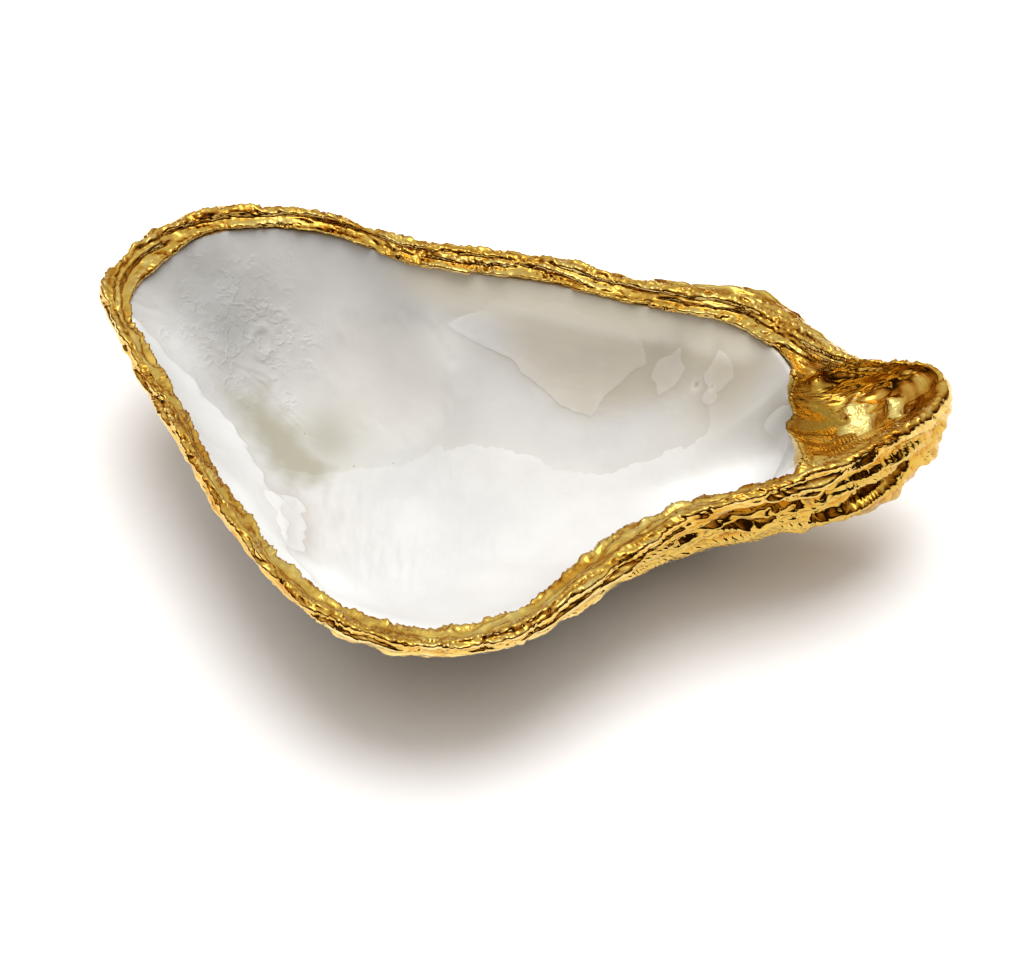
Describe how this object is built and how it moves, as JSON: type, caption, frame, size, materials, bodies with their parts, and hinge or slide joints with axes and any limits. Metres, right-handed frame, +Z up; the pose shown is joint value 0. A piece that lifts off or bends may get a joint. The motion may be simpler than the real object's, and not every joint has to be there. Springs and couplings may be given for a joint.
{
  "type": "oyster shell",
  "caption": "Cupped half of an oyster shell, pearly inside and layered outside, with a gold-plated rim and hinge; lies open side up as a small dish.",
  "frame": {"origin": "under the middle of the shell's outline, in the plane it rests on", "axes": "+X along the shell towards the beak, +Z up out of the open side"},
  "size_m": [0.1229, 0.08, 0.03],
  "materials": {
    "pearl": "glossy off-white mother-of-pearl with grey and cream clouds",
    "crust": "dull chalky grey-brown growth layers",
    "gilding": "bright polished gold plating over the rough rim"
  },
  "bodies": {
    "root": {"oyster_shell": "pearl"}
  },
  "joints": []
}
